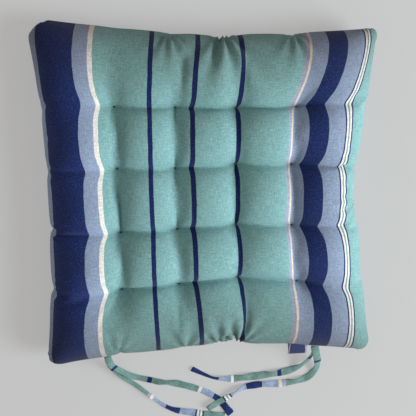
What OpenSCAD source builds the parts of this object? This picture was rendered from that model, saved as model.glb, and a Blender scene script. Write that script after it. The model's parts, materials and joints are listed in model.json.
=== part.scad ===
// Tufted chair seat pad: a square knife-edge cushion with four rows of four thread tufts,
// two tie straps caught in the rear seam, and a small woven label beside one of them.
// +Z is up and the pad lies on z = 0. The rear edge, with the ties, faces +Y.

/* [Pad] */
// Side of the pad, from corner to corner
pad_side = 400; // [370:5:480]
// Height of the edge seam above the floor
seam_height = 25; // [20:1:30]
// Height of the crown above the edge seam
crown_height = 36; // [30:1:44]
// How far the middle of each side pulls in from the line between its corners
side_pull = 12; // [6:1:16]
// Width of the rounded band along each side
edge_round = 60; // [50:1:66]

/* [Tufting] */
// Tufts in each row, and rows
tuft_count = 4; // [3:1:5]
// Distance between neighbouring tufts
tuft_pitch = 71; // [59:1:74]
// Share of the crown that a tuft pulls down
tuft_depth = 0.7; // [0.6:0.05:0.8]
// Share of the crown that the crease between two tufts pulls down
crease_depth = 0.3; // [0.1:0.05:0.4]
// Half width of the hollow around a tuft
tuft_hollow = 22; // [18:1:26]
// Diameter of the tufting thread
tuft_thread = 1.2; // [0.8:0.1:1.6]
// Diameter of the knot at each end of a tuft
tuft_knot = 3; // [2:0.5:4]

/* [Cloth] */
// Thickness of the cover cloth
cloth = 0.8; // [0.6:0.1:1.2]
// Depth of the seam allowance, which the filling keeps clear of
seam_allowance = 10; // [9:1:12]
// Diameter of the thread in the edge seam
seam_thread = 0.6; // [0.4:0.1:0.8]
// Length of the rear opening that the pad is filled through
filling_opening = 140; // [100:10:180]

/* [Ties] */
// Width of a tie strap
tie_width = 10; // [8:0.5:12]
// Thickness of a folded and stitched tie strap
tie_thickness = 1.6; // [1.2:0.1:1.8]
// Distance between the two straps, centre to centre
tie_spacing = 264; // [240:2:280]

/* [Label] */
// Width of the woven label
label_width = 24; // [18:1:26]
// How far the label stands out of the seam
label_reach = 12; // [8:1:16]
// Thickness of one layer of the label
label_cloth = 0.4; // [0.3:0.05:0.6]
// Distance from the label's middle to the middle of the tie beside it
label_offset = 22; // [20:1:30]

/* [Hidden] */
half_side = pad_side / 2;
outer_tuft = (tuft_count - 1) / 2 * tuft_pitch;
steps_per_pitch = 4;
steps_per_edge = 5;
filling_gap = 0.3;       // between the filling and the cloth around it
thread_clearance = 0.2;  // around a thread in its hole
slot_clearance = 0.2;    // around a strap or label in the seam
fold_gap = 1.2;          // between the two layers of a folded strap, where the seam thread runs
rim_half_height = 1.5;   // half the blunt edge of the filling
knot_play = 1.03;        // share of its touching height that a knot's centre stands at
tie_set_back = 4;        // from the line between the rear corners to the straps' exits
label_corner = 1;        // radius of the label's free corners

// Lines of the quilt's grid along one axis. Every tuft sits on a crossing.
inner_lines = [for (k = [0 : (tuft_count - 1) * steps_per_pitch])
    -outer_tuft + k * tuft_pitch / steps_per_pitch];
edge_lines = [for (k = [1 : steps_per_edge])
    outer_tuft + (half_side - outer_tuft) * sin(90 * k / steps_per_edge)];
lines = concat(
    [for (k = [steps_per_edge - 1 : -1 : 0]) -edge_lines[k]],
    inner_lines,
    edge_lines
);
last = len(lines) - 1;
tuft_lines = [for (k = [0 : tuft_count - 1]) -outer_tuft + k * tuft_pitch];

// Where the straps leave the seam
tie_exit = half_side - tie_set_back;

// The free ties, point by point: distance along X from the strap's middle, distance along Y
// from its outer fold end, and height. Each tail is 200 mm long.
left_upper_route = [
    [0, 0, 26.4], [-2, 8, 25.5], [-6, 16, 21], [-11, 23, 13], [-18, 30, 6], [-28, 37, 3],
    [-40, 42, 1.4], [-52, 45, 1], [-66, 48, 1], [-82, 51, 1], [-98, 55, 1], [-113, 61, 1],
    [-127, 67, 1], [-138, 74, 1], [-146, 82, 1], [-153, 91, 3], [-158, 98, 3.2]
];
left_lower_route = [
    [0, 0, 23.6], [-1, 9, 22], [-3, 18, 16], [-7, 26, 8.5], [-14, 35, 3], [-23, 43, 1],
    [-35, 52, 1], [-46, 61, 1], [-56, 70, 1], [-66, 79, 1], [-78, 86, 1], [-92, 91, 1],
    [-107, 94, 1], [-122, 97, 1], [-137, 99, 1], [-150, 101, 1]
];
right_lower_route = [
    [0, 0, 23.6], [1, 9, 22], [3, 18, 16], [6, 27, 8.5], [13, 35, 3], [23, 41, 1],
    [35, 44, 1], [48, 46, 1], [62, 47, 1], [76, 48, 1], [90, 49, 1], [104, 50, 1],
    [117, 49, 1], [128, 47, 1], [138, 43, 1], [148, 38, 1], [157, 33, 1]
];
right_upper_route = [
    [0, 0, 26.4], [-2, 9, 25.5], [-5, 18, 21], [-8, 27, 13], [-9, 36, 5.5], [-6, 45, 2],
    [2, 53, 1], [13, 57, 1], [26, 59, 1], [40, 60, 1], [54, 60, 1], [68, 60, 1],
    [82, 61, 1.2], [94, 65, 1.8], [105, 71, 3.1], [116, 77, 3.2], [127, 83, 3.1], [137, 89, 3]
];

// Share of the way from the outer tufts to the side
function band(s) = max(0, (abs(s) - outer_tuft) / (half_side - outer_tuft));

// Place along one axis: the side pulls in towards its middle, and a layer keeps its inset
function placed(s, t, inset) =
    s - sign(s) * (side_pull * pow(band(s), 2) * (1 - pow(t / half_side, 2)) + inset * pow(band(s), 4));

// Rounding of the crown towards a side
function rounding(s) = sqrt(max(0, 1 - pow(max(0, abs(s) - half_side + edge_round) / edge_round, 2)));

// Distance along one axis to the nearest tuft line
function to_tuft(s) = min([for (line = tuft_lines) abs(s - line)]);

function bell(distance) = exp(-pow(distance / tuft_hollow, 2));

// Share of the crown that tufts and creases pull down
function dip(s, t) = max(
    tuft_depth * bell(norm([to_tuft(s), to_tuft(t)])),
    crease_depth * bell(to_tuft(s)),
    crease_depth * bell(to_tuft(t))
);

function crown(s, t) = crown_height * rounding(s) * rounding(t) * (1 - dip(s, t));

// Height of a knot's centre above a hollow's floor, in knot radii: it rests on the faces that
// rise from the tuft to the next grid lines
function knot_seat() =
    let (at = tuft_lines[0], next = tuft_lines[0] + tuft_pitch / steps_per_pitch)
    let (beside = dip(at, at) - dip(next, at), beyond = dip(next, at) - dip(next, next))
    knot_play * norm([1, crown_height * beside / (next - at), crown_height * beyond / (next - at)]);

// Heights of the upper and lower skins. depth is how far inside the outer face a layer lies.
function upper_z(s, t, depth, rim) = seam_height + max(rim, crown(s, t) - depth);
function lower_z(s, t, depth, rim) = min(seam_height - rim, max(0, seam_height - crown(s, t)) + depth);

function upper_skin(inset, depth, rim = 0) = [for (s = lines) for (t = lines)
    [placed(s, t, inset), placed(t, s, inset), upper_z(s, t, depth, rim)]];
function lower_skin(inset, depth, rim = 0) = [for (s = lines) for (t = lines)
    [placed(s, t, inset), placed(t, s, inset), lower_z(s, t, depth, rim)]];

// Outline of the pad, counter-clockwise, as grid positions starting at the middle of the rear
function outline_cells() = concat(
    [for (i = [floor(last / 2) : -1 : 1]) [i, last]],
    [for (j = [last : -1 : 1]) [0, j]],
    [for (i = [0 : last - 1]) [i, 0]],
    [for (j = [0 : last - 1]) [last, j]],
    [for (i = [last : -1 : floor(last / 2) + 1]) [i, last]]
);

// The rear edge's place along Y at a place along X
function rear_edge(x) = placed(half_side, x, 0);

// Grid faces, two triangles a cell. The diagonals run towards the corners of the pad.
function grid_point(i, j, base) = base + i * (last + 1) + j;
function cell_faces(i, j, base) =
    let (a = grid_point(i, j, base), b = grid_point(i, j + 1, base))
    let (c = grid_point(i + 1, j + 1, base), d = grid_point(i + 1, j, base))
    (i + 0.5 - last / 2) * (j + 0.5 - last / 2) > 0
        ? [[a, b, c], [a, c, d]]
        : [[a, b, d], [b, c, d]];
function flipped(faces) = [for (face = faces) [face[2], face[1], face[0]]];
function sheet_faces(base) = [for (i = [0 : last - 1]) for (j = [0 : last - 1])
    each cell_faces(i, j, base)];
function wall_faces(base) = let (cells = outline_cells(), count = len(outline_cells()))
    [for (k = [0 : count - 1])
        let (p = cells[k], q = cells[(k + 1) % count])
        let (a = grid_point(p[0], p[1], 0), b = grid_point(q[0], q[1], 0))
        each [[a, b, b + base], [a, b + base, a + base]]];

// A closed solid between two skins on the same grid
module between_skins(upper, lower) {
    base = len(upper);
    polyhedron(
        points = concat(upper, lower),
        faces = concat(sheet_faces(0), flipped(sheet_faces(base)), wall_faces(base))
    );
}

// Rings of a tube along a route: across lies level, and up stands square to the route
function unit(v) = v / norm(v);
function along(route, k) = unit(route[min(k + 1, len(route) - 1)] - route[max(k - 1, 0)]);
function ring(route, k, half_width, half_height, sides) =
    let (ahead = along(route, k))
    let (across = unit(cross(ahead, [0, 0, 1])), up = cross(across, ahead))
    [for (n = [0 : sides - 1])
        let (turn = 360 * (n + 0.5) / sides)
        route[k] + across * half_width * cos(turn) + up * half_height * sin(turn)];

module tube(route, half_width, half_height, sides) {
    rings = len(route);
    far = (rings - 1) * sides;
    polyhedron(
        points = [for (k = [0 : rings - 1]) each ring(route, k, half_width, half_height, sides)],
        faces = concat(
            [for (n = [1 : sides - 2]) [0, n, n + 1]],
            [for (n = [1 : sides - 2]) [far, far + n + 1, far + n]],
            [for (k = [0 : rings - 2]) for (n = [0 : sides - 1])
                let (a = k * sides + n, b = k * sides + (n + 1) % sides)
                each [[a, a + sides, b], [b, a + sides, b + sides]]]
        )
    );
}

module at_tufts() {
    for (x = tuft_lines)
        for (y = tuft_lines)
            translate([x, y, 0]) children();
}

// Room for the threads, the folded straps and the label where they pass through the cover
module tuft_holes() {
    at_tufts()
        cylinder(h = 2 * (seam_height + crown_height), d = tuft_thread + 2 * thread_clearance, center = true);
}

module seam_slot(x, width, height) {
    translate([x, rear_edge(x), seam_height])
        cube([width + 2 * slot_clearance, 4 * cloth, height + 2 * slot_clearance], center = true);
}

module seam_slots() {
    for (side = [-1, 1])
        seam_slot(side * tie_spacing / 2, tie_width, 2 * tie_thickness + fold_gap);
    seam_slot(label_offset - tie_spacing / 2, label_width, 2 * label_cloth + fold_gap);
}

module top_cover() {
    color("#79b0ae")
        difference() {
            between_skins(upper_skin(0, 0), upper_skin(cloth, cloth));
            tuft_holes();
            seam_slots();
        }
}

module bottom_cover() {
    color("#5f9391")
        difference() {
            between_skins(lower_skin(cloth, cloth), lower_skin(0, 0));
            tuft_holes();
            seam_slots();
        }
}

module fibre_filling() {
    depth = cloth + filling_gap;
    color("#f1efe8")
        difference() {
            between_skins(
                upper_skin(seam_allowance, depth, rim_half_height),
                lower_skin(seam_allowance, depth, rim_half_height)
            );
            tuft_holes();
        }
}

// The seam's thread runs just inside the cloth. These are its points, from the rear middle round.
seam_inset = cloth + seam_thread / 2 + thread_clearance;
seam_route = [for (cell = outline_cells())
    let (s = lines[cell[0]], t = lines[cell[1]])
    [placed(s, t, seam_inset), placed(t, s, seam_inset), seam_height]];

function at_rear(x) = [x, rear_edge(x) - seam_inset, seam_height];
function in_opening(point) = point[1] > 0 && abs(point[0]) < filling_opening / 2;

module edge_seam_thread() {
    color("#d9d9d2")
        tube(
            concat(
                [at_rear(-filling_opening / 2)],
                [for (point = seam_route) if (!in_opening(point)) point],
                [at_rear(filling_opening / 2)]
            ),
            seam_thread / 2, seam_thread / 2, 6
        );
}

module closing_seam_thread() {
    closing_half = filling_opening / 2 - seam_thread;
    color("#c9c9c2")
        tube([for (share = [1 : -0.25 : -1]) at_rear(share * closing_half)],
            seam_thread / 2, seam_thread / 2, 6);
}

// One tuft: a thread through the whole pad with a knot in the hollow at each end
module tuft(x, y) {
    knot_rise = crown(x, y) + knot_seat() * tuft_knot / 2;
    color("#2b3440")
        translate([x, y, seam_height]) {
            cylinder(h = 2 * knot_rise, d = tuft_thread, center = true);
            for (side = [-1, 1])
                translate([0, 0, side * knot_rise]) sphere(d = tuft_knot);
        }
}

// A strap or label folded over on itself. The fold is a half ring, and its legs run along +Y.
module folded_strip(width, thickness, gap, leg) {
    outer = gap / 2 + thickness;
    rotate([90, 0, 90])
        linear_extrude(height = width, center = true)
            difference() {
                union() {
                    circle(r = outer);
                    translate([0, -outer]) square([leg, 2 * outer]);
                }
                circle(d = gap);
                translate([0, -gap / 2]) square([leg + 1, gap]);
            }
}

// The middle of a tie strap, folded in two and caught in the seam
module tie_fold(side) {
    x = side * tie_spacing / 2;
    turn = fold_gap / 2 + tie_thickness;
    start = rear_edge(x) - seam_allowance + turn;
    color("#79b0ae")
        translate([x, start, seam_height])
            folded_strip(tie_width, tie_thickness, fold_gap, tie_exit - start);
}

module tie_tail(side, route) {
    color("#8fb9c4")
        tube([for (point = route) [side * tie_spacing / 2 + point[0], tie_exit + point[1], point[2]]],
            tie_width / 2, tie_thickness / 2, 8);
}

// The woven label: folded at its free end, with both ends caught in the seam
module woven_label() {
    x = label_offset - tie_spacing / 2;
    turn = fold_gap / 2 + label_cloth;
    color("#24306a")
        translate([x, rear_edge(x) + label_reach - turn, seam_height])
            rotate(180)
                folded_strip(label_width, label_cloth, fold_gap, label_reach + seam_allowance / 2 - turn);
}

tuft_names = [for (row = [1 : tuft_count]) for (column = [1 : tuft_count])
    str("tuft_row_", row, "_column_", column)];

top_cover();
bottom_cover();
fibre_filling();
edge_seam_thread();
closing_seam_thread();
tie_fold(1);  // left_tie_fold
tie_tail(1, left_upper_route);  // left_tie_upper_tail
tie_tail(1, left_lower_route);  // left_tie_lower_tail
tie_fold(-1);  // right_tie_fold
tie_tail(-1, right_upper_route);  // right_tie_upper_tail
tie_tail(-1, right_lower_route);  // right_tie_lower_tail
woven_label();
for (row = [1 : tuft_count])
    for (column = [1 : tuft_count])
        tuft(tuft_lines[column - 1], tuft_lines[row - 1]);
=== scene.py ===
"""Tufted chair seat pad: looks built in Blender around its CAD frame.

Everything is in metres in the CAD's own frame: +Z is up, the pad lies on z = 0 and its rear
edge, with the ties, faces +Y. The sizes and the ties' routes repeat the CAD's. The covers are
simulated as cloth, and the ties, the label and the threads are swept along their routes.
"""
import json
import math

import bpy
import numpy as np
from mathutils import Matrix, Vector

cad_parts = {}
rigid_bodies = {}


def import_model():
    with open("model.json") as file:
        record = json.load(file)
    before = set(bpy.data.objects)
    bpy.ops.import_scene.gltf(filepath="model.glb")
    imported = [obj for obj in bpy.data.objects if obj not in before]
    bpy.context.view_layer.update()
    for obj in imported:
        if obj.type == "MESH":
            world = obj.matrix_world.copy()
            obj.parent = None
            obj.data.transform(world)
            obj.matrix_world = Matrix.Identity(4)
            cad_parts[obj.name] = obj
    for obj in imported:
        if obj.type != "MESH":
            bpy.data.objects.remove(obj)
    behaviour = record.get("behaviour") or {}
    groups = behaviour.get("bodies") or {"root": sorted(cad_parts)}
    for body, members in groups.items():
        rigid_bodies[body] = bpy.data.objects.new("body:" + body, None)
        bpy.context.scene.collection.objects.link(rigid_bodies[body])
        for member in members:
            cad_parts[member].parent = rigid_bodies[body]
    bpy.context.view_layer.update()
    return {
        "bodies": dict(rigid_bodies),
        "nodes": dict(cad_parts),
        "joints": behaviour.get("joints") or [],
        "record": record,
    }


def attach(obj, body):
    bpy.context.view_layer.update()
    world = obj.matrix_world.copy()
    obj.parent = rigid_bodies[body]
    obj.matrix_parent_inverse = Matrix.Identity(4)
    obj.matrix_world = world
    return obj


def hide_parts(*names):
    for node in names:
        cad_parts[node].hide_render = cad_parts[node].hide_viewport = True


MM = 0.001

# Camera
CAMERA_AT = (0.087, -0.110, 0.800)
CAMERA_LOOKS_AT = (0.004, 0.013, 0.025)
CAMERA_ROLL = -0.0107
CAMERA_LENS = 55.8
CAMERA_SENSOR = 36.0

# Light
KEY_AT = (-2.7, 0.8, 1.5)
KEY_SIZE = 1.6
KEY_POWER = 134.0
KEY_COLOUR = (0.96, 1.0, 1.02)
SKY_COLOUR = (1.0, 0.89, 0.80, 1.0)
SKY_STRENGTH = 0.40
FLOOR_SIDE = 10.0
FLOOR_GLOW = 0.35              # a weak glow of the floor's own, so shadows on it stay faint

# The pad
SEAM_HEIGHT = 0.025
TUFTS = 4
TUFT_PITCH = 0.071
TUFT_SHIFT = (0.006, -0.002)   # the tufting as a whole isn't quite in the middle
TUFT_HALF_DEPTH = 0.0095       # between the seam's plane and a tuft
CLOTH = 0.0008
FILLING_INSET = 0.0045         # from the cloth's outer face, so that no fold cuts into the fibre
FLOOR_SOFTNESS = 0.002         # how gradually the underside flattens on the floor
FLOOR_CLEARANCE = 0.0002

# Tufting by hand is never regular: how far each tuft is off the grid, in mm, row 1 first
TUFT_DRIFT = (
    ((-2, 0), (0, 1), (1, -1), (1, -2)),
    ((3, -2), (1, -4), (2, 0), (0, -1)),
    ((2, 2), (1, -1), (1, 3), (-2, 5)),
    ((-5, 2), (-1, -6), (0, 0), (-1, 4)),
)

# The flat cloth, which is larger than the plan of the finished pad
FLAT_PITCH = (0.076, 0.080)
FLAT_BAND = (0.102, 0.102)
CELLS_PER_PITCH = 14
CELLS_PER_BAND = 18
CORNER_RADIUS = 0.022
FLAT_TO_FINISHED = 0.9         # share that a flat pitch or corner radius keeps along the seam
ROW_DRAW = (0.004, 0.003)      # how far stitching draws the cloth in along a row, at -X and +X
ROW_DRAW_WIDTH = 0.011
COLUMN_DRAW = 0.003
COLUMN_DRAW_WIDTH = 0.016

# The seam's outline: each side's place at its ends and middle, and how late each half turns out
OUTLINE = {
    "left": (0.2125, 0.1965, 0.2060, 2.2, 2.2),
    "right": (-0.2055, -0.1865, -0.2065, 1.3, 1.3),
    "front": (-0.2005, -0.1945, -0.2125, 1.1, 1.1),
    "rear": (0.2060, 0.1895, 0.2030, 1.5, 0.9),
}
OUTLINE_CORNERS = (0.208, 0.207)
SCALLOP = 0.003                # how far the seam is drawn in where a row of tufts meets it
SCALLOP_WIDTH = 0.012
# Gathers in the seam: side, place along it, depth, half width and share drawn together
GATHERS = (
    ("front", -0.013, 0.003, 0.030, 0.40),
    ("front", 0.047, 0.002, 0.022, 0.35),
    ("front", -0.100, 0.002, 0.020, 0.30),
    ("rear", -0.031, 0.009, 0.024, 0.45),
    ("rear", -0.010, 0.005, 0.018, 0.35),
    ("rear", 0.034, 0.002, 0.018, 0.30),
    ("rear", 0.118, 0.002, 0.020, 0.30),
    ("left", 0.034, 0.002, 0.020, 0.35),
    ("left", 0.104, 0.002, 0.020, 0.30),
    ("right", -0.015, 0.0075, 0.090, 0.0),
    ("right", -0.045, 0.002, 0.020, 0.35),
    ("right", 0.008, 0.003, 0.020, 0.35),
)
# Folds that fan out from a gather: side, place, height, reach, folds in a full turn and phase
FOLDS = (
    ("front", -0.016, 0.0030, 0.070, 11, 0.4),
    ("front", 0.047, 0.0016, 0.035, 13, 1.9),
    ("front", -0.100, 0.0016, 0.035, 11, 0.8),
    ("rear", -0.031, 0.0034, 0.036, 14, 1.2),
    ("rear", -0.010, 0.0028, 0.034, 13, 2.6),
    ("rear", 0.034, 0.0020, 0.060, 8, 0.0),
    ("rear", 0.118, 0.0014, 0.028, 12, 1.0),
    ("left", 0.034, 0.0012, 0.024, 12, 0.5),
    ("left", 0.104, 0.0012, 0.024, 12, 1.5),
    ("right", -0.045, 0.0016, 0.028, 13, 0.3),
    ("right", 0.008, 0.0020, 0.032, 13, 2.0),
)

# Creases along the tufting
ROW_CREASE = 0.95
ROW_DIP = 0.0028
COLUMN_CREASE = 0.7
COLUMN_DIP = 0.0032
DIP_CELLS = 0.65               # half width of a crease, in cells of the cloth's grid
DIP_FADE = 8                   # cells over which a crease dies away outside the tufts

# The simulation
FRAMES = 40
DRAWING_FRAMES = 12            # while the tufts and seam are pulled from flat to finished
PRESSURE = 1500.0
BAND_PRESSURE = 0.4            # share of it that the loosely filled edge band has
BAND_START = 0.030             # from the outer tufts to where the band has only that share
SEAM_HOLD = 0.8
CANVAS = {                     # how the cloth modifier's settings stand for light canvas
    "quality": 6,
    "mass": 0.15,
    "tension_stiffness": 20,
    "compression_stiffness": 3,
    "shear_stiffness": 1,
    "bending_stiffness": 2,
    "tension_damping": 5,
    "compression_damping": 5,
    "shear_damping": 5,
    "air_damping": 2,
}
START_RISE = 0.010             # half height of the envelope before it is inflated
START_SLOPE = 0.050            # width of the envelope's edge over which it rises to that
TUFT_STITCH = 0.0018           # between the held points of a tuft

# Ties
TIE_X = 0.132
TIE_Y = 0.196
TIE_WIDTH = 0.010
TIE_THICKNESS = 0.0016
# Route of each tail in mm: along X from the strap's middle, along Y from its exit, and height
LEFT_UPPER = (
    (0, 0, 26.4), (-2, 8, 25.5), (-6, 16, 21), (-11, 23, 13), (-18, 30, 6), (-28, 37, 3),
    (-40, 42, 1.4), (-52, 45, 1), (-66, 48, 1), (-82, 51, 1), (-98, 55, 1), (-113, 61, 1),
    (-127, 67, 1), (-138, 74, 1), (-146, 82, 1), (-153, 91, 3), (-158, 98, 3.2),
)
LEFT_LOWER = (
    (0, 0, 23.6), (-1, 9, 22), (-3, 18, 16), (-7, 26, 8.5), (-14, 35, 3), (-23, 43, 1),
    (-35, 52, 1), (-46, 61, 1), (-56, 70, 1), (-66, 79, 1), (-78, 86, 1), (-92, 91, 1),
    (-107, 94, 1), (-122, 97, 1), (-137, 99, 1), (-150, 101, 1),
)
RIGHT_LOWER = (
    (0, 0, 23.6), (1, 9, 22), (3, 18, 16), (6, 27, 8.5), (13, 35, 3), (23, 41, 1),
    (35, 44, 1), (48, 46, 1), (62, 47, 1), (76, 48, 1), (90, 49, 1), (104, 50, 1),
    (117, 49, 1), (128, 47, 1), (138, 43, 1), (148, 38, 1), (157, 33, 1),
)
RIGHT_UPPER = (
    (0, 0, 26.4), (-2, 9, 25.5), (-5, 18, 21), (-8, 27, 13), (-9, 36, 5.5), (-6, 45, 2),
    (2, 53, 1), (13, 57, 1), (26, 59, 1), (40, 60, 1), (54, 60, 1), (68, 60, 1),
    (82, 61, 1.2), (94, 65, 1.8), (105, 71, 3.1), (116, 77, 3.2), (127, 83, 3.1), (137, 89, 3),
)
TAPE_STEP = 0.0025
TAPE_SIDES = 16                # corners of a strip's rounded section
TAPE_WAVES = (210, 83)         # a strip's width wavers as their product, in radians per metre
ROLL_WAVES = 157               # and its roll as this one, by ROLL_SWING radians either way
ROLL_SWING = 0.25
TAPE_END = 0.86                # share of its width that a strip's sewn end keeps
TIE_FOLD_DEPTH = 0.010         # how far a strap's folded middle reaches inside the seam
TIE_FOLD_GAP = 0.0028          # between the middles of its two layers

# Label
LABEL_X = -0.110
LABEL_WIDTH = 0.024
LABEL_THICKNESS = 0.0004
LABEL_BORDER = (0.0104, 0.0112)  # from its middle to the woven border's two edges
LABEL_WEAVE = 0.0007
# Route of the label in mm: outwards from the rim, and height. It goes out, folds and comes back
LABEL_ROUTE = (
    (-6, 25.7), (0, 25.6), (5, 24.9), (10, 23.2), (14, 21.8), (14.4, 21.2), (13.6, 20.9),
    (8, 22.2), (4, 23.8), (0, 24.4), (-6, 24.3),
)

# Stitching
SEAM_THREAD_RADIUS = 0.0003
SEAM_INSET = 0.0025
SEAM_STITCH = 0.003
CLOSING_STITCH = 0.004
FILLING_OPENING = 0.140
TUFT_THREAD_RADIUS = 0.00045
# Route of a tuft's thread in mm from the cloth at its upper and its lower end. At the top it
# comes out, crosses a short stitch, turns round it in a knot and goes down through the pad
UPPER_KNOT = (
    (-1.3, 0, -3.2), (-1.3, 0, -0.2), (-1.04, 0, 0.8), (0, 0.3, 1.5), (1.04, 0, 0.8),
    (1.3, 0, -0.2), (0.78, -0.6, 1.0), (-0.52, -0.9, 1.6), (-0.91, 0.8, 1.4), (0.52, 0.9, 1.6),
    (0.26, 0, -1.2), (0, 0, -5.2),
)
LOWER_STITCH = ((0, 0, 5.8), (-0.65, 0, 0.8), (-0.26, 0, -0.2), (1.3, 0, -0.2), (1.3, 0, 2.8))

# Colours, linear RGB
AQUA = (0.235, 0.470, 0.485)
NAVY = (0.007, 0.025, 0.148)
BRIGHT_NAVY = (0.001, 0.012, 0.110)
GREY_BLUE = (0.300, 0.395, 0.570)
WHITE = (0.880, 0.880, 0.850)
LAVENDER = (0.380, 0.410, 0.560)
CREAM = (0.800, 0.760, 0.650)
TEAL = (0.180, 0.360, 0.350)
# The ties' aqua: the cover's aqua darkened as painted shade of the narrow, folded straps
SHADED_TIE_AQUA = (0.165, 0.300, 0.280)
PALE_YARN = (0.620, 0.680, 0.660)
# Painted shade: the darker, greyer tint of the cover where it rolls over at the front and rear
ROLLED_OVER_PAINTED_SHADE = (0.580, 0.530, 0.500)
SEAM_THREAD_GREY = (0.500, 0.560, 0.550)
TUFT_THREAD_BLUE = (0.045, 0.100, 0.120)
LABEL_NAVY = (0.010, 0.022, 0.110)
LABEL_BORDER_BLUE = (0.450, 0.500, 0.580)
FIBRE_WHITE = (0.800, 0.790, 0.750)
FLOOR_GREY = (0.215, 0.225, 0.230)

# Stripes across the cover, from +X to -X: where each starts on the flat cloth, in mm
COVER_STRIPES = (
    (-230, GREY_BLUE), (-204.5, NAVY), (-159.5, GREY_BLUE), (-143, WHITE), (-137.5, AQUA),
    (-74, BRIGHT_NAVY), (-68.5, AQUA), (-19.5, BRIGHT_NAVY), (-13.5, AQUA), (37, BRIGHT_NAVY),
    (42.5, AQUA), (102, LAVENDER), (107, CREAM), (110, GREY_BLUE), (129.5, NAVY),
    (152.5, GREY_BLUE), (174, NAVY), (176, WHITE), (178.5, TEAL), (180.5, WHITE), (183, NAVY),
    (185, AQUA),
)
# Near the front right corner the stripes swing outwards: how far, and where that starts and
# over what length it grows, towards the right and towards the front
STRIPE_SWING = 0.015
SWING_RIGHT = (0.030, 0.090)
SWING_FRONT = (0.100, 0.110)
# The straps are cut across the same cloth. Stripes along a tail in mm from its exit
NAVY_ENDED = (
    (0, SHADED_TIE_AQUA), (19, BRIGHT_NAVY), (26, SHADED_TIE_AQUA), (77, BRIGHT_NAVY), (83, SHADED_TIE_AQUA),
    (146, WHITE), (150, GREY_BLUE), (168, NAVY),
)
AQUA_ENDED = (
    (0, SHADED_TIE_AQUA), (25.5, BRIGHT_NAVY), (31, SHADED_TIE_AQUA), (90, LAVENDER), (95, CREAM),
    (99, GREY_BLUE), (120, NAVY), (140, GREY_BLUE), (161, NAVY), (163, WHITE), (165.5, TEAL),
    (167.5, WHITE), (170, NAVY), (172, SHADED_TIE_AQUA),
)
WEAVE = 0.0011                 # two threads of the plain weave
# Painted shade at the cover's front and rear edges: where it starts and where it is full, along the
# cloth
PAINTED_SHADE_SPAN = (0.115, 0.210)   # along the cloth: where its tint starts and is full


# ---------------------------------------------------------------- camera, light and floor

def aim(camera, at, target, up, roll):
    """Points the camera at target, with up towards the top of the picture, turned by roll."""
    forward = (Vector(target) - Vector(at)).normalized()
    right = forward.cross(Vector(up)).normalized()
    above = right.cross(forward)
    turned_right = right * math.cos(roll) + above * math.sin(roll)
    turned_above = above * math.cos(roll) - right * math.sin(roll)
    matrix = Matrix((turned_right, turned_above, -forward)).transposed().to_4x4()
    matrix.translation = Vector(at)
    camera.matrix_world = matrix


def add_object(name, data):
    obj = bpy.data.objects.new(name, data)
    bpy.context.scene.collection.objects.link(obj)
    return obj


def make_camera():
    data = bpy.data.cameras.new("camera")
    data.sensor_width = CAMERA_SENSOR
    data.lens = CAMERA_LENS
    camera = add_object("camera", data)
    aim(camera, CAMERA_AT, CAMERA_LOOKS_AT, (0, -1, 0), CAMERA_ROLL)
    bpy.context.scene.camera = camera


def make_light():
    data = bpy.data.lights.new("key", "AREA")
    data.energy = KEY_POWER
    data.size = KEY_SIZE
    data.color = KEY_COLOUR
    key = add_object("key", data)
    key.location = KEY_AT
    key.rotation_euler = (-Vector(KEY_AT)).to_track_quat("-Z", "Y").to_euler()
    world = bpy.data.worlds.new("studio")
    world.use_nodes = True
    background = world.node_tree.nodes["Background"]
    background.inputs["Color"].default_value = SKY_COLOUR
    background.inputs["Strength"].default_value = SKY_STRENGTH
    bpy.context.scene.world = world
    bpy.context.scene.view_settings.view_transform = "Standard"


def make_floor():
    half = FLOOR_SIDE / 2
    mesh = bpy.data.meshes.new("floor")
    corners = [(-half, -half, 0), (half, -half, 0), (half, half, 0), (-half, half, 0)]
    mesh.from_pydata(corners, [], [(0, 1, 2, 3)])
    floor = add_object("floor", mesh)
    mesh.materials.append(floor_material())


# ---------------------------------------------------------------- materials

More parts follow.
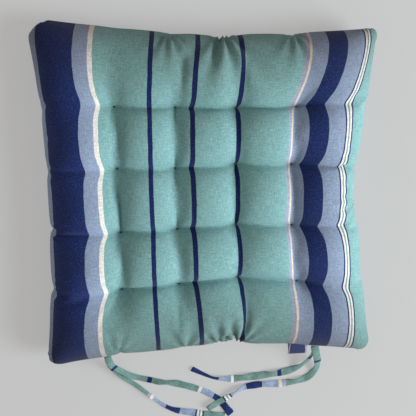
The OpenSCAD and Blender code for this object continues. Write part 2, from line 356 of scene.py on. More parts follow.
class Shader:
    """A material's node tree, with short calls for the nodes that the materials here share."""

    def __init__(self, name, roughness, sheen=0.0):
        self.material = bpy.data.materials.new(name)
        self.material.use_nodes = True
        self.tree = self.material.node_tree
        self.surface = self.tree.nodes["Principled BSDF"]
        self.surface.inputs["Roughness"].default_value = roughness
        self.surface.inputs["Specular IOR Level"].default_value = 0.25
        self.surface.inputs["Sheen Weight"].default_value = sheen
        self.surface.inputs["Sheen Roughness"].default_value = 0.5

    def put(self, source, socket):
        """Links a socket, or sets a constant."""
        if isinstance(source, bpy.types.NodeSocket):
            self.tree.links.new(source, socket)
        else:
            socket.default_value = source

    def add(self, kind):
        return self.tree.nodes.new(kind)

    def uv(self):
        """The cloth's own coordinates in metres, as separate X and Y, and together."""
        node = self.add("ShaderNodeUVMap")
        node.uv_map = "cloth"
        parts = self.add("ShaderNodeSeparateXYZ")
        self.put(node.outputs["UV"], parts.inputs[0])
        return parts.outputs["X"], parts.outputs["Y"], node.outputs["UV"]

    def math(self, operation, first, second=0.0):
        node = self.add("ShaderNodeMath")
        node.operation = operation
        self.put(first, node.inputs[0])
        self.put(second, node.inputs[1])
        return node.outputs[0]

    def noise(self, vector, scale, detail=2.0, stretch=(1, 1, 1)):
        spread = self.add("ShaderNodeVectorMath")
        spread.operation = "MULTIPLY"
        self.put(vector, spread.inputs[0])
        self.put(stretch, spread.inputs[1])
        node = self.add("ShaderNodeTexNoise")
        self.put(spread.outputs[0], node.inputs["Vector"])
        self.put(scale, node.inputs["Scale"])
        self.put(detail, node.inputs["Detail"])
        return node.outputs["Fac"]

    def remap(self, value, low, high, from_low=0.0, from_high=1.0):
        node = self.add("ShaderNodeMapRange")
        self.put(value, node.inputs["Value"])
        self.put(from_low, node.inputs["From Min"])
        self.put(from_high, node.inputs["From Max"])
        self.put(low, node.inputs["To Min"])
        self.put(high, node.inputs["To Max"])
        return node.outputs[0]

    def stripes(self, distance, stops):
        """Stops are (start in mm, colour), in order. Each takes over where it starts."""
        colour = (*stops[0][1], 1)
        for start, following in stops[1:]:
            beyond = self.remap(distance, 0.0, 1.0, (start - 0.2) * MM, (start + 0.2) * MM)
            colour = self.mix("MIX", beyond, colour, (*following, 1))
        return colour

    def mix(self, mode, share, first, second):
        node = self.add("ShaderNodeMix")
        node.data_type = "RGBA"
        node.blend_type = mode
        self.put(share, node.inputs[0])
        self.put(first, node.inputs[6])
        self.put(second, node.inputs[7])
        return node.outputs[2]

    def shade(self, colour, brightness):
        """The colour made brighter or darker by a factor near 1."""
        node = self.add("ShaderNodeVectorMath")
        node.operation = "SCALE"
        self.put(colour, node.inputs[0])
        self.put(brightness, node.inputs["Scale"])
        return node.outputs[0]

    def finish(self, colour, height, depth, roughness=None):
        """Sets the colour and a bump whose height runs from 0 to 1 over depth metres."""
        bump = self.add("ShaderNodeBump")
        self.put(depth, bump.inputs["Distance"])
        self.put(height, bump.inputs["Height"])
        self.put(colour, self.surface.inputs["Base Color"])
        self.put(bump.outputs[0], self.surface.inputs["Normal"])
        if roughness is not None:
            self.put(roughness, self.surface.inputs["Roughness"])
        return self.material


def weave(shader, across, along, size):
    """Height and over-under sign of a plain weave whose repeat is size metres."""
    waves = [
        shader.math("SINE", shader.math("MULTIPLY", place, 2 * math.pi / size))
        for place in (across, along)
    ]
    sign = shader.math("MULTIPLY", waves[0], waves[1])
    return shader.math("ABSOLUTE", sign), sign


def striped_cloth(name, stops, reverse=False):
    """Yarn-dyed plain-weave cotton: stripes, slubs, flecks and the weave itself.

    The cover is darkened and greyed where it rolls over to the front and rear seams: painted shade.
    """
    shader = Shader(name, roughness=0.9, sheen=0.06)
    across, along, both = shader.uv()
    distance = shader.math("MULTIPLY", across, -1.0) if reverse else across
    wander = shader.remap(shader.noise(both, 60.0, 1.0), -0.0006, 0.0006)
    colour = shader.stripes(shader.math("ADD", distance, wander), stops)
    height, sign = weave(shader, across, along, WEAVE)
    warp = shader.noise(both, 1100.0, 2.0, (1.0, 0.10, 1.0))
    weft = shader.noise(both, 1100.0, 2.0, (0.10, 1.0, 1.0))
    flecks = shader.noise(both, 520.0, 2.0)
    mottling = shader.noise(both, 18.0, 3.0)
    pale = shader.remap(flecks, 0.0, 0.06, 0.5, 0.8)
    colour = shader.mix("MIX", pale, colour, (*PALE_YARN, 1))
    # Painted shade: darker and greyer towards the front and rear, where the cover rolls over to the
    # seams
    painted_shade_share = shader.remap(shader.math("ABSOLUTE", along), 0.0, 1.0, *PAINTED_SHADE_SPAN)
    colour = shader.mix("MULTIPLY", painted_shade_share, colour, (*ROLLED_OVER_PAINTED_SHADE, 1))
    brightness = shader.remap(mottling, 0.92, 1.08)
    for yarn in (warp, weft, flecks):
        brightness = shader.math("ADD", brightness, shader.remap(yarn, -0.38, 0.38))
    brightness = shader.math("ADD", brightness, shader.math("MULTIPLY", sign, 0.12))
    colour = shader.shade(colour, brightness)
    threads = shader.math("MULTIPLY", height, 0.6)
    slubs = shader.math("MULTIPLY", weft, 0.5)
    relief = shader.math("ADD", threads, slubs)
    return shader.finish(colour, relief, 0.0003, shader.remap(flecks, 0.82, 0.98))


def thread_material(name, colour):
    """Spun thread: fine fibres lying along it, painted shade in the grooves of its twist, and a
    slight sheen.
    """
    shader = Shader(name, roughness=0.65, sheen=0.2)
    across, along, both = shader.uv()
    around = shader.math("MULTIPLY", across, 2 * math.pi)
    ply = shader.math("ADD", shader.math("MULTIPLY", along, 2400.0), around)
    twist = shader.remap(shader.math("SINE", ply), 0.0, 1.0, -1.0, 1.0)
    fibres = shader.noise(both, 900.0, 3.0)
    # Painted shade: darker in the grooves between the plies, where the bump is low; the fibres vary
    # it at random
    groove_shade_and_fibres = shader.math("ADD", shader.remap(twist, 0.7, 1.05), shader.remap(fibres, -0.12, 0.12))
    return shader.finish(shader.shade(colour, groove_shade_and_fibres), twist, 0.0001)


def label_material():
    """Plain navy satin label with a woven border along its two sides and no lettering."""
    shader = Shader("label_weave", roughness=0.5, sheen=0.15)
    across, along = shader.uv()[:2]
    edge = shader.math("ABSOLUTE", along)
    inner = shader.math("GREATER_THAN", edge, LABEL_BORDER[0])
    outer = shader.math("LESS_THAN", edge, LABEL_BORDER[1])
    border = shader.math("MULTIPLY", inner, outer)
    height, sign = weave(shader, across, along, LABEL_WEAVE)
    colour = shader.mix("MIX", border, (*LABEL_NAVY, 1), (*LABEL_BORDER_BLUE, 1))
    colour = shader.shade(colour, shader.remap(sign, 0.8, 1.2, -1.0, 1.0))
    return shader.finish(colour, height, 0.0001)


def fibre_material():
    """Carded polyester fibre: white, matt and tangled."""
    shader = Shader("fibre_filling", roughness=0.95, sheen=0.5)
    both = shader.uv()[2]
    tangle = shader.noise(both, 400.0, 6.0, (1.0, 0.4, 1.0))
    colour = shader.shade(FIBRE_WHITE, shader.remap(tangle, 0.85, 1.1))
    return shader.finish(colour, tangle, 0.0015)


def floor_material():
    shader = Shader("floor", roughness=0.8)
    shader.put((1, 1, 1, 1), shader.surface.inputs["Emission Color"])
    shader.put(FLOOR_GLOW, shader.surface.inputs["Emission Strength"])
    place = shader.add("ShaderNodeNewGeometry").outputs["Position"]
    grain = shader.noise(place, 30.0, 4.0)
    colour = shader.shade(FLOOR_GREY, shader.remap(grain, 0.99, 1.01))
    return shader.finish(colour, grain, 0.0001)


# ---------------------------------------------------------------- mesh builders

def smooth_route(points, step):
    """Catmull-Rom curve through the points, resampled about every step metres."""
    points = np.asarray(points, float)
    padded = np.vstack([2 * points[0] - points[1], points, 2 * points[-1] - points[-2]])
    shares = np.linspace(0, 1, 12, endpoint=False)[:, None]
    curve = []
    for before, start, end, after in zip(padded, padded[1:], padded[2:], padded[3:]):
        curve.append(0.5 * (
            2 * start + (end - before) * shares
            + (2 * before - 5 * start + 4 * end - after) * shares ** 2
            + (3 * start - before - 3 * end + after) * shares ** 3
        ))
    curve = np.vstack(curve + [points[-1:]])
    distance = distances(curve)
    even = np.linspace(0, distance[-1], max(2, round(distance[-1] / step)) + 1)
    return np.stack([np.interp(even, distance, curve[:, axis]) for axis in range(3)], -1)


def distances(points):
    """How far along the points each one is."""
    return np.concatenate([[0], np.cumsum(np.linalg.norm(np.diff(points, axis=0), axis=1))])


def unit(vectors):
    return vectors / np.linalg.norm(vectors, axis=-1, keepdims=True)


def mesh_object(node, points, faces, uvs, material):
    """A smooth mesh with the cloth's coordinates that stands for a CAD node. uvs go by point."""
    mesh = bpy.data.meshes.new(node + "_look")
    faces = [[int(point) for point in face] for face in faces]
    mesh.from_pydata(np.asarray(points).tolist(), [], faces)
    layer = mesh.uv_layers.new(name="cloth")
    corner_points = np.empty(len(mesh.loops), int)
    mesh.loops.foreach_get("vertex_index", corner_points)
    layer.data.foreach_set("uv", np.asarray(uvs, float)[corner_points].ravel())
    mesh.polygons.foreach_set("use_smooth", [True] * len(mesh.polygons))
    mesh.materials.append(material)
    obj = add_object(mesh.name, mesh)
    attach(obj, "root")
    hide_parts(node)
    return obj


def swept(centres, across, up, section):
    """Points and faces of a section carried along the centres. section is (across, up) pairs."""
    rings, sides = len(centres), len(section[0])
    points = (
        centres[:, None]
        + across[:, None] * section[..., 0, None]
        + up[:, None] * section[..., 1, None]
    ).reshape(-1, 3)
    faces = []
    for ring in range(rings - 1):
        here, there = ring * sides, (ring + 1) * sides
        for side in range(sides):
            beyond = (side + 1) % sides
            faces.append((here + side, here + beyond, there + beyond, there + side))
    faces.append(range(sides - 1, -1, -1))
    faces.append(range((rings - 1) * sides, rings * sides))
    return points, faces


def tape(node, route, width, thickness, material, rolls=((0, 0),), widths=((0, 1),),
         level=None):
    """A flat sewn strip along a route, with a small ripple in its width and roll.

    rolls and widths are (mm along, degrees or share of the full width). level fixes the
    direction across the strip where the route climbs. Returns the piece and its centreline.
    """
    centres = smooth_route(route, TAPE_STEP)
    along = distances(centres)
    roll = np.radians(np.interp(along / MM, *zip(*rolls)))
    share = np.interp(along / MM, *zip(*widths))
    phase = len(node)
    ripple = np.sin(along * TAPE_WAVES[0]) * np.sin(along * TAPE_WAVES[1] + phase)
    swing = 0 if level else ROLL_SWING
    roll = roll + swing * np.sin(along * ROLL_WAVES + phase) * ease(along / 0.03)
    half = width / 2 * share * (1 + 0.08 * ripple)
    half[-1] *= TAPE_END
    centres[:, 2] += np.abs(np.sin(roll)) * half
    ahead = unit(np.gradient(centres, axis=0))
    flat = np.tile(level, (len(centres), 1)) if level else unit(np.cross(ahead, (0, 0, 1)))
    above = np.cross(flat, ahead)
    across = flat * np.cos(roll)[:, None] + above * np.sin(roll)[:, None]
    up = np.cross(across, ahead)
    # The section is a flat oval with blunt sides, thicker and more cupped where it is narrower
    turns = (np.arange(TAPE_SIDES) + 0.5) * 2 * math.pi / TAPE_SIDES
    sides = np.cos(turns)
    shape = np.stack([np.sign(sides) * np.abs(sides) ** 0.6, np.sin(turns)], -1)
    thick = thickness / 2 * (1 + 0.15 * (1 - share) + 0.1 * ripple)
    section = shape[None] * np.stack([half, thick], -1)[:, None]
    cupped = 0.12 * (1 - share)[:, None] * half[:, None]
    section[..., 1] += cupped * (shape[None, :, 0] ** 2 - 0.5)
    points, faces = swept(centres, across, up, section)
    uvs = np.stack([
        np.repeat(along, len(turns)),
        np.tile(shape[:, 0] * width / 2, len(along)),
    ], -1)
    return mesh_object(node, points, faces, uvs, material), centres


def thread(node, centres, radius, material, sides=6):
    """A round thread along the centres."""
    ahead = unit(np.gradient(centres, axis=0))
    guide = np.where(np.abs(ahead[:, 2:]) > 0.9, (1.0, 0.2, 0.0), (0.0, 0.0, 1.0))
    across = unit(np.cross(ahead, guide))
    up = np.cross(across, ahead)
    turns = np.arange(sides) * 2 * math.pi / sides
    ring = radius * np.stack([np.cos(turns), np.sin(turns)], -1)
    section = np.tile(ring, (len(centres), 1, 1))
    points, faces = swept(centres, across, up, section)
    along = distances(centres)
    uvs = np.stack([np.tile(turns / (2 * math.pi), len(along)), np.repeat(along, sides)], -1)
    return mesh_object(node, points, faces, uvs, material)


# ---------------------------------------------------------------- ties and label

def tie_tail(name, side, route, stops, stretch, rolls, widths):
    """A free strap. stretch is how much further apart than the stops its own stripes lie."""
    stops = [(start * stretch, colour) for start, colour in stops]
    material = striped_cloth("tie_cloth_" + name, stops)
    corner = np.array([side * TIE_X, TIE_Y, 0])
    points = [corner + np.array(point) * MM for point in route]
    piece, centres = tape(
        name, points, TIE_WIDTH, TIE_THICKNESS, material, rolls, widths,
    )


def make_ties():
    tie_tail(
        "left_tie_upper_tail", 1, LEFT_UPPER, NAVY_ENDED, 1.0,
        rolls=((0, 0), (40, 20), (85, 10), (102, 55), (118, 8), (200, 0)),
        widths=((0, 0.9), (50, 0.75), (92, 0.8), (102, 0.55), (115, 0.9), (170, 0.8), (184, 1.0)),
    )
    tie_tail(
        "left_tie_lower_tail", 1, LEFT_LOWER, AQUA_ENDED, 1.0,
        rolls=((0, 0), (60, 35), (100, 30), (125, 10), (200, 0)),
        widths=((0, 0.75), (50, 0.62), (95, 0.6), (110, 0.42), (128, 0.6), (150, 0.95)),
    )
    tie_tail(
        "right_tie_lower_tail", -1, RIGHT_LOWER, NAVY_ENDED, 0.93,
        rolls=((0, 30), (25, 45), (50, 10), (130, 0), (155, 25), (194, 5)),
        widths=((0, 0.6), (30, 0.8), (60, 1.0), (138, 1.0), (158, 0.5), (180, 0.5), (194, 0.8)),
    )
    tie_tail(
        "right_tie_upper_tail", -1, RIGHT_UPPER, AQUA_ENDED, 1.07,
        rolls=((0, 0), (40, 5), (150, 0), (165, 30), (185, 5), (208, 0)),
        widths=((0, 1.0), (60, 0.95), (140, 0.95), (165, 0.6), (190, 0.9)),
    )


def folded_route(x):
    """Into the seam, round the fold and out again: a strip folded in its middle."""
    half = TIE_FOLD_GAP / 2
    fold = TIE_Y - TIE_FOLD_DEPTH
    middle = TIE_Y - TIE_FOLD_DEPTH / 2
    inwards = [(TIE_Y, half), (middle, half), (fold + half, half), (fold + 0.3 * half, 0.7 * half)]
    outwards = [(y, -rise) for y, rise in reversed(inwards)]
    return [(x, y, SEAM_HEIGHT + rise) for y, rise in [*inwards, (fold, 0), *outwards]]


def make_tie_folds():
    # The folds take the ties' darker aqua, which is painted shade
    material = striped_cloth("tie_cloth_folds", ((0, SHADED_TIE_AQUA),))
    for name, side in (("left_tie_fold", 1), ("right_tie_fold", -1)):
        route = folded_route(side * TIE_X)
        tape(name, route, TIE_WIDTH, TIE_THICKNESS, material, level=(1, 0, 0))


def make_label(rim_y):
    """A loop label: its two ends are caught in the seam, and its fold hangs outside."""
    route = [(LABEL_X, rim_y + out * MM, height * MM) for out, height in LABEL_ROUTE]
    tape(
        "woven_label", route, LABEL_WIDTH, LABEL_THICKNESS, label_material(),
        level=(1, 0, 0),
    )


# ---------------------------------------------------------------- the cushion

def flat_lines(axis):
    """Places of the cloth's grid lines along one axis of the flat cloth."""
    inner = (TUFTS - 1) / 2 * FLAT_PITCH[axis]
    edge = FLAT_BAND[axis] * np.arange(1, CELLS_PER_BAND + 1) / CELLS_PER_BAND
    middle = np.linspace(-inner, inner, (TUFTS - 1) * CELLS_PER_PITCH + 1)
    return np.concatenate([-inner - edge[::-1], middle, inner + edge])


def with_round_corners(x, y, half_x, half_y, radius):
    """Moves the points near a rectangle's corners inside corners of that radius."""
    near_x = np.clip((np.abs(x) - half_x + radius) / radius, 0, 1)
    near_y = np.clip((np.abs(y) - half_y + radius) / radius, 0, 1)
    corner = (near_x > 0) & (near_y > 0)
    round_x = np.sign(x) * (half_x - radius + radius * near_x * np.sqrt(1 - near_y ** 2 / 2))
    round_y = np.sign(y) * (half_y - radius + radius * near_y * np.sqrt(1 - near_x ** 2 / 2))
    return np.where(corner, round_x, x), np.where(corner, round_y, y)


def nearness(values, lines, width):
    """Up to 1 on a line and 0 away from every line."""
    return sum(np.exp(-((values - line) / width) ** 2) for line in lines)


def ease(values):
    values = np.clip(values, 0, 1)
    return values * values * (3 - 2 * values)


def tuft_lines(pitch, shift=0.0):
    return [(count - (TUFTS - 1) / 2) * pitch + shift for count in range(TUFTS)]


def drawn_in(values, outer, half, peak, rise=0.028):
    """How far stitching draws the cloth towards the middle: most just outside the tufts."""
    outside = np.abs(values) - outer
    growing = ease(outside / rise)
    fading = 0.9 * ease((outside - rise) / (half - outer - rise))
    return np.sign(values) * peak * (growing - fading)


def seam_target(side, share):
    """Where a side's seam ends up. share runs from -1 to 1 along the flat cloth's side."""
    first, middle, last, *powers = OUTLINE[side]
    sideways = side in ("left", "right")
    turned_out = np.abs(share) ** np.where(share < 0, *powers)
    out = middle + (np.where(share < 0, first, last) - middle) * turned_out
    along = share * OUTLINE_CORNERS[1 if sideways else 0]
    pitch = FLAT_PITCH[1 if sideways else 0] * FLAT_TO_FINISHED
    inwards = -np.sign(middle)
    shift = TUFT_SHIFT[1 if sideways else 0]
    strength = SCALLOP if sideways else SCALLOP / 2
    out = out + inwards * strength * nearness(along, tuft_lines(pitch, shift), SCALLOP_WIDTH)
    for where, place, depth, width, together in GATHERS:
        if where == side:
            near = np.exp(-((along - place) / width) ** 2)
            out = out + inwards * depth * np.exp(-((along - place) / (0.6 * width)) ** 2)
            along = along - (along - place) * near * together
    x, y = (out, along) if sideways else (along, out)
    return with_round_corners(x, y, *OUTLINE_CORNERS, CORNER_RADIUS * FLAT_TO_FINISHED)


def flat_cloth():
    """The flat cloth's grid with round corners: X and Y by grid point, and half its two sides."""
    lines_x, lines_y = flat_lines(0), flat_lines(1)
    half_x, half_y = lines_x[-1], lines_y[-1]
    x, y = np.meshgrid(lines_x, lines_y, indexing="ij")
    x, y = with_round_corners(x, y, half_x, half_y, CORNER_RADIUS)
    return x, y, half_x, half_y


def stitched_in(flat_x, flat_y, half_x, half_y):
    """The flat cloth's points, drawn towards the middle along the rows and columns of tufts."""
    rows, columns = tuft_lines(FLAT_PITCH[1]), tuft_lines(FLAT_PITCH[0])
    near_row = nearness(flat_y, rows, ROW_DRAW_WIDTH)
    near_column = nearness(flat_x, columns, COLUMN_DRAW_WIDTH)
    row_draw = np.where(flat_x < 0, *ROW_DRAW)
    x = flat_x - drawn_in(flat_x, columns[-1], half_x, row_draw) * near_row
    y = flat_y - drawn_in(flat_y, rows[-1], half_y, COLUMN_DRAW) * near_column
    return x, y


def start_rise(flat_x, flat_y, half_x, half_y):
    """Half height of the envelope before it is inflated, sloping to nothing at its edge."""
    rise = START_RISE
    for values, half in ((flat_x, half_x), (flat_y, half_y)):
        sloping = np.clip((np.abs(values) - half + START_SLOPE) / START_SLOPE, 0, 1)
        rise = rise * np.sqrt(1 - sloping ** 2)
    return rise


def envelope_grids(size):
    """Point numbers of the two sides, which share their border, and what lies inside it."""
    top = np.arange(size * size).reshape(size, size)
    inner = np.zeros((size, size), bool)
    inner[1:-1, 1:-1] = True
    bottom = top.copy()
    bottom[inner] = size * size + np.arange(inner.sum())
    return top, bottom, inner


def pull_tufts(finished, top, bottom, marks):
    """Puts three points of each side at every tuft's finished place, and returns them all."""
    held = []
    for row, j in enumerate(marks):
        for column, i in enumerate(marks):
            drift = TUFT_DRIFT[row][column]
            x = tuft_lines(TUFT_PITCH, TUFT_SHIFT[0])[column] + drift[0] * MM
            y = tuft_lines(TUFT_PITCH, TUFT_SHIFT[1])[row] + drift[1] * MM
            for step in (-1, 0, 1):
                for grid, side in ((top, 1), (bottom, -1)):
                    held.append(int(grid[i + step, j]))
                    finished[held[-1]] = (x + step * TUFT_STITCH, y, side * TUFT_HALF_DEPTH)
    return held


def pull_seam(finished, flat, top, halves):
    """Puts the border's points on the seam's finished outline, and returns them all."""
    edges = {"left": top[-1, :], "right": top[0, :], "front": top[:, 0], "rear": top[:, -1]}
    for side, edge in edges.items():
        axis = 1 if side in ("left", "right") else 0
        share = np.clip(flat[edge, axis] / halves[axis], -1, 1)
        x, y = seam_target(side, share)
        finished[edge] = np.stack([x, y, np.zeros(len(edge))], -1)
    return sorted({int(point) for edge in edges.values() for point in edge})


def pressure_shares(flat):
    """Each point's share of the pressure, which is lower in the loosely filled edge band."""
    outer_x, outer_y = (tuft_lines(pitch)[-1] for pitch in FLAT_PITCH)
    outside = np.maximum(np.abs(flat[:, 0]) - outer_x, np.abs(flat[:, 1]) - outer_y)
    return 1 + (BAND_PRESSURE - 1) * ease(outside / BAND_START)


def simulated_cushion():
    """Pulls a flat cloth envelope to its tufts and seam, and inflates it.

    Returns where its points settle, their places on the flat cloth, the point numbers of its
    upper and lower sides, and the grid lines that carry tufts.
    """
    flat_x, flat_y, *halves = flat_cloth()
    rest_x, rest_y = stitched_in(flat_x, flat_y, *halves)
    size = len(flat_x)
    top, bottom, inner = envelope_grids(size)
    upper = np.stack([rest_x, rest_y, start_rise(flat_x, flat_y, *halves)], -1)
    lower = upper * (1, 1, -1)
    points = np.concatenate([upper.reshape(-1, 3), lower[inner]])
    flat = np.stack([flat_x, flat_y], -1)
    flat = np.concatenate([flat.reshape(-1, 2), flat[inner]])

    finished = points.copy()
    marks = [CELLS_PER_BAND + count * CELLS_PER_PITCH for count in range(TUFTS)]
    held = pull_tufts(finished, top, bottom, marks)
    rim_points = pull_seam(finished, flat, top, halves)
    faces = np.concatenate([grid_faces(top), grid_faces(bottom)[:, ::-1]])
    settled = inflate(points, faces, finished, held, rim_points, pressure_shares(flat))
    dips = tufting_dips(size, marks)
    settled[top, 2] -= dips
    settled[bottom[1:-1, 1:-1], 2] += dips[1:-1, 1:-1]
    settled[:, 2] += SEAM_HEIGHT
    settled[:, 2] = FLOOR_SOFTNESS * np.logaddexp(0, settled[:, 2] / FLOOR_SOFTNESS)
    return settled, flat, top, bottom, marks


def tufting_dips(size, marks):
    """How far the stitching draws the cloth in along the rows and columns, by grid point."""
    cells = np.arange(size)
    crease = sum(np.exp(-((cells - mark) / DIP_CELLS) ** 2) for mark in marks)
    outside = np.maximum(marks[0] - cells, cells - marks[-1])
    reach = ease((DIP_FADE - outside) / DIP_FADE)
    rows = ROW_DIP * reach[:, None] * crease[None, :]
    columns = COLUMN_DIP * crease[:, None] * reach[None, :]
    return np.maximum(rows, columns)


def grid_faces(grid):
    corners = [grid[:-1, :-1], grid[1:, :-1], grid[1:, 1:], grid[:-1, 1:]]
    return np.stack(corners, -1).reshape(-1, 4)


def inflate(points, faces, finished, held, rim_points, pressure):
    """Runs Blender's cloth on the envelope and returns where its points settle."""
    mesh = bpy.data.meshes.new("envelope")
    mesh.from_pydata(points.tolist(), [], faces.tolist())
    envelope = add_object("envelope", mesh)
    envelope.shape_key_add(name="flat")
    key = envelope.shape_key_add(name="finished")
    key.data.foreach_set("co", finished.ravel())
    for value, frame in ((0.0, 1), (1.0, 1 + DRAWING_FRAMES)):
        key.value = value
        key.keyframe_insert("value", frame=frame)
    pins = envelope.vertex_groups.new(name="held")
    pins.add(rim_points, SEAM_HOLD, "REPLACE")
    pins.add(held, 1.0, "REPLACE")
    inflated = envelope.vertex_groups.new(name="inflated")
    for point, share in enumerate(pressure):
        inflated.add([point], float(share), "REPLACE")
    cloth = envelope.modifiers.new("Cloth", "CLOTH")
    settings = cloth.settings
    for name, value in CANVAS.items():
        setattr(settings, name, value)
    settings.use_pressure = True
    settings.uniform_pressure_force = PRESSURE
    settings.vertex_group_pressure = "inflated"
    settings.vertex_group_mass = "held"
    settings.effector_weights.gravity = 0
    cloth.collision_settings.use_collision = False
    cloth.point_cache.frame_end = FRAMES
    for frame in range(1, FRAMES + 1):
        bpy.context.scene.frame_set(frame)
    shown = envelope.evaluated_get(bpy.context.evaluated_depsgraph_get())
    settled = np.empty(len(points) * 3)
    shown.data.vertices.foreach_get("co", settled)
    bpy.data.objects.remove(envelope)
    bpy.context.scene.frame_set(1)
    return settled.reshape(-1, 3)


def crease_tufting(mesh, size, marks):
    """Keeps the cloth sharp where it turns down into a row of tufts, and less so in a column."""
    sharp = {}
    for place in marks:
        for step in range(marks[0] - DIP_FADE, marks[-1] + DIP_FADE):
            sharp[frozenset((step * size + place, (step + 1) * size + place))] = ROW_CREASE
            sharp[frozenset((place * size + step, place * size + step + 1))] = COLUMN_CREASE
    creases = [sharp.get(frozenset(edge.vertices), 0.0) for edge in mesh.edges]
    layer = mesh.attributes.new("crease_edge", "FLOAT", "EDGE")
    layer.data.foreach_set("value", creases)


def fan_folds(points, normals):
    """Small folds that fan out from each gather in the seam, and die away over the cloth."""
    height = np.zeros(len(points))
    for side, place, rise, reach, folds, phase in FOLDS:
        middle = OUTLINE[side][1]
        sideways = side in ("left", "right")
        out = np.abs(middle) - points[:, 0 if sideways else 1] * np.sign(middle)
        along = points[:, 1 if sideways else 0] - place
        distance = np.hypot(out, along)
        angle = np.arctan2(along, out + 0.004)
        fade = np.exp(-(distance / reach) ** 2) * np.clip(distance / 0.008, 0, 1)
        height += rise * fade * np.cos(angle) ** 2 * np.sin(folds * angle + phase)
    return points + normals * height[:, None]


def applied(obj):
    """Applies the object's modifiers to its mesh."""
    shown = obj.evaluated_get(bpy.context.evaluated_depsgraph_get())
    old = obj.data
    obj.data = bpy.data.meshes.new_from_object(shown)
    obj.modifiers.clear()
    bpy.data.meshes.remove(old)


def stripe_places(flat):
    """The cloth's coordinates for its stripes, which run off square near the front right corner."""
    rightwards = ease((-flat[:, 0] - SWING_RIGHT[0]) / SWING_RIGHT[1])
    frontwards = ease((-flat[:, 1] - SWING_FRONT[0]) / SWING_FRONT[1])
    return flat + np.outer(STRIPE_SWING * rightwards * frontwards, (1, 0))


def panel(name, settled, flat, grid, marks, material, under):
    """One side of the cover, with its creases, folds and the cloth's thickness."""
    ids = grid.ravel()
    size = len(grid)
    faces = grid_faces(np.arange(size * size).reshape(size, size))
    if under:
        faces = faces[:, ::-1]
    obj = mesh_object(name, settled[ids], faces, stripe_places(flat[ids]), material)
    crease_tufting(obj.data, size, marks)
    smooth = obj.modifiers.new("smooth", "SUBSURF")
    smooth.levels = smooth.render_levels = 1
    applied(obj)
    count = len(obj.data.vertices)
    folded, normals = np.empty(count * 3), np.empty(count * 3)
    obj.data.vertices.foreach_get("co", folded)
    obj.data.vertices.foreach_get("normal", normals)
    folded = fan_folds(folded.reshape(-1, 3), normals.reshape(-1, 3))
    folded[:, 2] = np.maximum(folded[:, 2], FLOOR_CLEARANCE)
    obj.data.vertices.foreach_set("co", folded.ravel())
    skin = obj.modifiers.new("thickness", "SOLIDIFY")
    skin.thickness = CLOTH
    skin.offset = -1
    applied(obj)
    return obj


def filling(settled, flat, top, bottom):
    """The fibre, inside the cloth's folds and two cells clear of the seam."""
    keep = slice(2, -2)
    least = 0.0005
    layers = []
    for grid, side in ((top, 1), (bottom, -1)):
        surface = settled[grid[keep, keep]]
        slope_x, slope_y = np.gradient(surface, axis=0), np.gradient(surface, axis=1)
        outwards = unit(np.cross(slope_x, slope_y)) * side
        surface = surface - outwards * FILLING_INSET
        layers.append(surface)
    middle = (layers[0][..., 2] + layers[1][..., 2]) / 2
    layers[0][..., 2] = np.maximum(layers[0][..., 2], middle + least)
    layers[1][..., 2] = np.minimum(layers[1][..., 2], middle - least)
    count = len(middle)
    grids = np.arange(2 * count * count).reshape(2, count, count)
    faces = [*grid_faces(grids[0]), *grid_faces(grids[1])[:, ::-1]]
    upper, lower = (outline(grid) for grid in grids)
    for here in range(len(upper)):
        there = (here + 1) % len(upper)
        faces.append((upper[here], lower[here], lower[there], upper[there]))
    points = np.concatenate([layer.reshape(-1, 3) for layer in layers])
    spread = np.concatenate([flat[top[keep, keep]].reshape(-1, 2)] * 2)
    obj = mesh_object("fibre_filling", points, faces, spread, fibre_material())


def outline(grid):
    """A square grid's border, counter-clockwise seen from above, from the front right corner."""
    return np.concatenate([grid[:-1, 0], grid[-1, :-1], grid[:0:-1, -1], grid[0, :0:-1]])


def lock_stitch(route, material):
    """A machine's stitches along a seam: a thread that waves up and down."""
    centres = smooth_route(route, 0.0015)
    centres[:, 2] += 0.0004 * np.sin(distances(centres) / SEAM_STITCH * 2 * math.pi)
    thread("edge_seam_thread", centres, SEAM_THREAD_RADIUS, material)


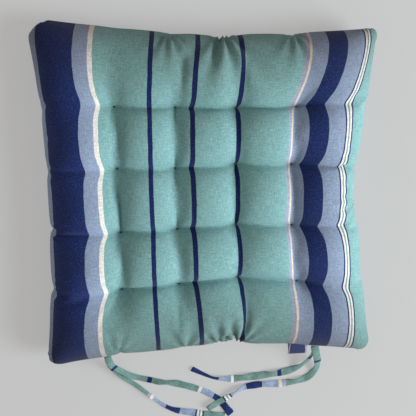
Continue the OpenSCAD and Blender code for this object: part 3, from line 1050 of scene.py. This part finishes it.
def hand_stitch(route, middle, material):
    """Whip stitches over the closed opening: a thread that winds round the seam's edge."""
    centres = smooth_route(route, 0.0006)[4:-4]
    phase = distances(centres) / CLOSING_STITCH * 2 * math.pi
    outwards = unit((centres - middle) * (1, 1, 0))
    centres = centres + outwards * (0.0006 * np.cos(2 * phase) + 0.0002)[:, None]
    centres[:, 2] += 0.0013 * np.sin(phase)
    thread("closing_seam_thread", centres, SEAM_THREAD_RADIUS, material)


def make_seam_threads(settled, top):
    """A lock stitch inside the seam all round, and hand stitches over the rear opening."""
    border = settled[outline(top)]
    middle = border.mean(axis=0)
    opening = np.abs(border[:, 0]) < FILLING_OPENING / 2
    opening &= border[:, 1] > 0
    start = int(np.argmax(opening & ~np.roll(opening, 1)))
    border = np.roll(border, -start, axis=0)
    inside = border + unit((middle - border) * (1, 1, 0)) * SEAM_INSET
    count = int(opening.sum())
    material = thread_material("seam_thread", SEAM_THREAD_GREY)
    lock_stitch(inside[count:], material)
    hand_stitch(border[:count], middle, material)


def tuft(row, column, upper, lower, material):
    """Thread through the pad, with a knot at its upper end and a stitch at its lower one."""
    route = [np.array(upper) + np.array(step) * MM for step in UPPER_KNOT]
    route += [np.array(lower) + np.array(step) * MM for step in LOWER_STITCH]
    centres = smooth_route(route, 0.0006)
    name = f"tuft_row_{row}_column_{column}"
    thread(name, centres, TUFT_THREAD_RADIUS, material)


def make_cushion():
    """Makes every piece of the pad itself, and returns its rim's place at the label."""
    settled, flat, top, bottom, marks = simulated_cushion()
    material = striped_cloth("cover_cloth", COVER_STRIPES, reverse=True)
    upper = panel("top_cover", settled, flat, top, marks, material, under=False)
    lower = panel("bottom_cover", settled, flat, bottom, marks, material, under=True)
    filling(settled, flat, top, bottom)
    make_seam_threads(settled, top)
    size = len(top)
    tuft_material = thread_material("tuft_thread", TUFT_THREAD_BLUE)
    for row, j in enumerate(marks):
        for column, i in enumerate(marks):
            place = i * size + j
            ends = [cover.data.vertices[place].co for cover in (upper, lower)]
            tuft(row + 1, column + 1, *ends, tuft_material)
    rear = settled[top[:, -1]]
    return float(np.interp(LABEL_X, rear[:, 0], rear[:, 1]))


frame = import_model()
make_camera()
make_ties()
rim_at_label = make_cushion()
make_tie_folds()
make_label(rim_at_label)
make_floor()
make_light()
